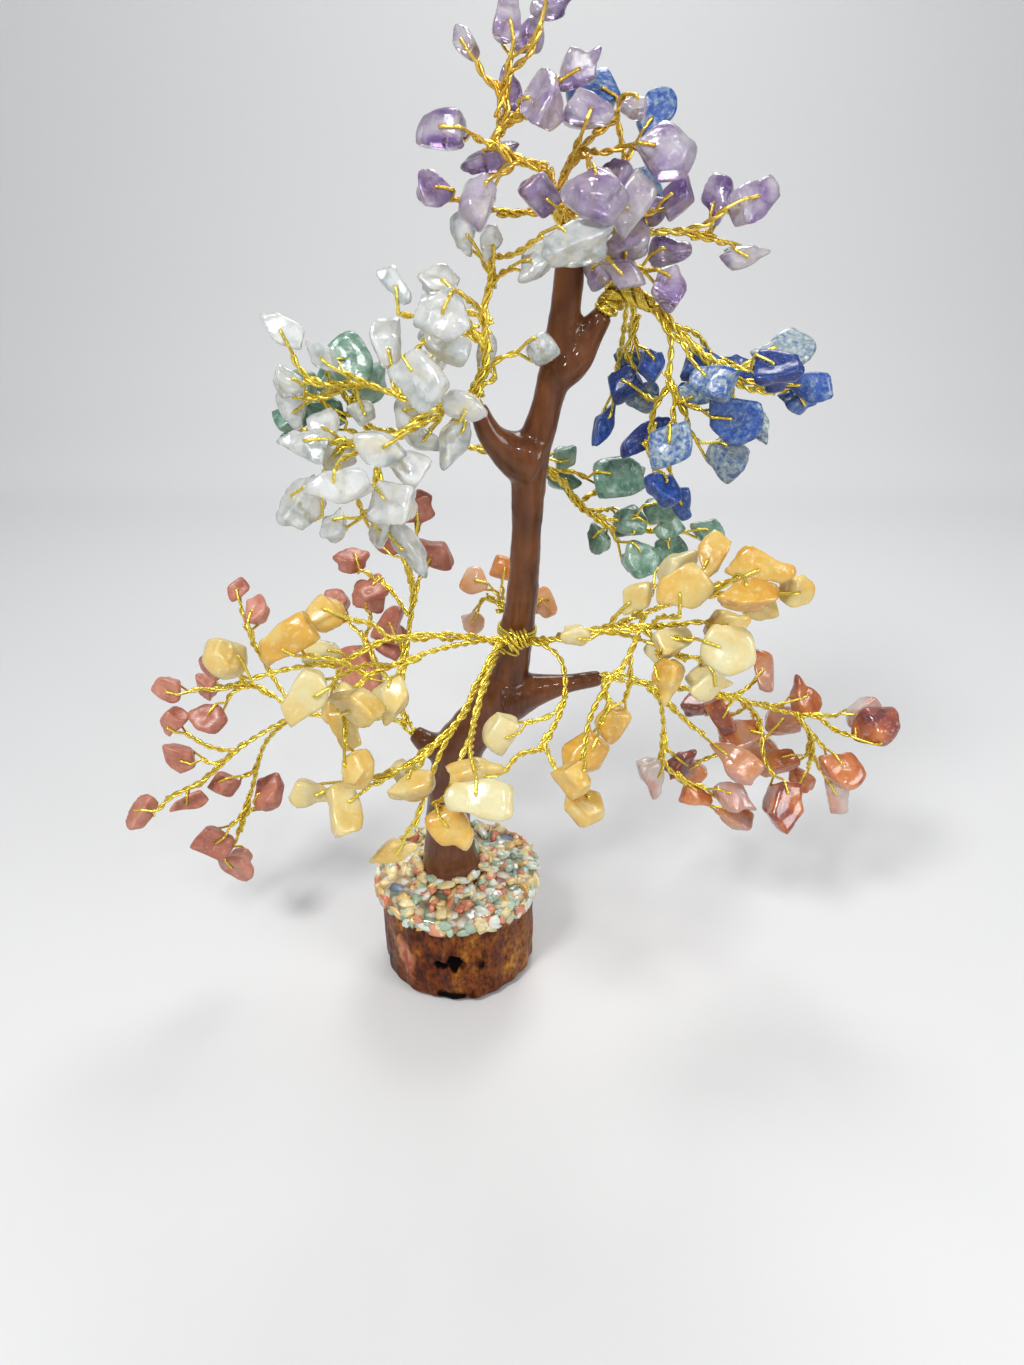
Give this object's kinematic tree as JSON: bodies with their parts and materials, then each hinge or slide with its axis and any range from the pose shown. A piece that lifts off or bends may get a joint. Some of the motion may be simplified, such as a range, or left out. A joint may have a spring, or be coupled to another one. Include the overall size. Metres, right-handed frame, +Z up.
{
  "type": "gemstone tree ornament",
  "caption": "Small ornamental tree: twisted gilt wire boughs carry tumbled stone chips on a leaning clay trunk, over a log slice topped with stone grit in resin.",
  "frame": {"origin": "centre of the log slice's flat underside", "axes": "+Z up, -Y towards the front as pictured, +X to the tree's right as seen from the front"},
  "size_m": [0.2317, 0.1114, 0.2634],
  "materials": {
    "bark_wood": "varnished",
    "clear_resin": "gloss",
    "grit_blue": "gloss",
    "grit_cream": "gloss",
    "grit_green": "gloss",
    "grit_red": "gloss",
    "grit_white": "gloss",
    "brown_clay": "gloss",
    "gilt_wire": "bright",
    "amethyst": "polished",
    "clear_quartz": "polished",
    "green_aventurine": "polished",
    "lapis": "polished",
    "yellow_aventurine": "polished",
    "carnelian": "polished",
    "red_jasper": "polished",
    "orange_aventurine": "polished"
  },
  "bodies": {
    "root": {"log_slice": "bark_wood", "resin_bed": "clear_resin", "grit_blue": "grit_blue", "grit_cream": "grit_cream", "grit_green": "grit_green", "grit_red": "grit_red", "grit_white": "grit_white", "trunk": "brown_clay", "trunk_core": "gilt_wire", "amethyst_boughs": "gilt_wire", "quartz_boughs": "gilt_wire", "green_boughs": "gilt_wire", "lapis_boughs": "gilt_wire", "yellow_boughs": "gilt_wire", "carnelian_boughs": "gilt_wire", "jasper_boughs": "gilt_wire", "orange_boughs": "gilt_wire", "wire_wraps": "gilt_wire", "amethyst_stones": "amethyst", "amethyst_twigs": "gilt_wire", "quartz_stones": "clear_quartz", "quartz_twigs": "gilt_wire", "green_left_stones": "green_aventurine", "green_left_twigs": "gilt_wire", "green_right_stones": "green_aventurine", "green_right_twigs": "gilt_wire", "lapis_stones": "lapis", "lapis_twigs": "gilt_wire", "yellow_left_stones": "yellow_aventurine", "yellow_left_twigs": "gilt_wire", "yellow_centre_stones": "yellow_aventurine", "yellow_centre_twigs": "gilt_wire", "yellow_right_stones": "yellow_aventurine", "yellow_right_twigs": "gilt_wire", "carnelian_stones": "carnelian", "carnelian_twigs": "gilt_wire", "jasper_left_stones": "red_jasper", "jasper_left_twigs": "gilt_wire", "jasper_back_stones": "red_jasper", "jasper_back_twigs": "gilt_wire", "orange_stones": "orange_aventurine", "orange_twigs": "gilt_wire"}
  },
  "joints": []
}
